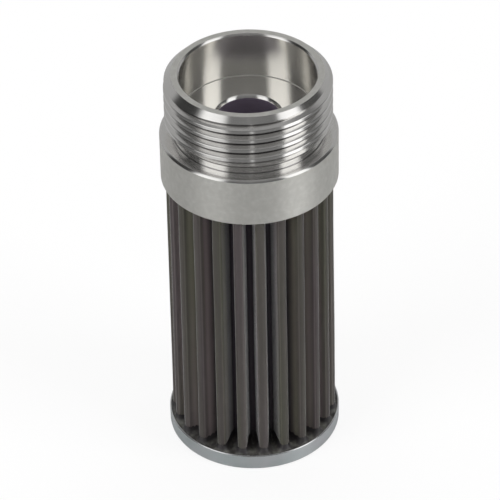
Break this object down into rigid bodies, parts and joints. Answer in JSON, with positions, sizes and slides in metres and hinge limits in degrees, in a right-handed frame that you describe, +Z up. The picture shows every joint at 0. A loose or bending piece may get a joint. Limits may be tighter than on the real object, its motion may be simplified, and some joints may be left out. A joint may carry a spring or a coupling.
{
  "type": "threaded oil filter element",
  "caption": "Cylindrical oil filter element: pleated wire-mesh body in a thin bottom cap, with a turned, externally threaded outlet neck on top.",
  "frame": {"origin": "centre of the bottom cap's lower face, on the surface that the element stands on", "axes": "+Z up along the element's axis, towards the threaded neck; -Y is the side the picture shows"},
  "size_m": [0.048, 0.048, 0.118],
  "materials": {
    "turned_metal": "turned, thread and bore bright, collar and lip satin",
    "cap_metal": "satin",
    "wire_mesh": "fine woven wire, dull dark grey",
    "core_metal": "mill finish",
    "adhesive": "cured epoxy, dark grey, smooth"
  },
  "bodies": {
    "root": {"threaded_neck": "turned_metal", "bottom_cap": "cap_metal", "pleated_mesh": "wire_mesh", "core_tube": "core_metal", "lower_adhesive": "adhesive", "upper_adhesive": "adhesive"}
  },
  "joints": []
}
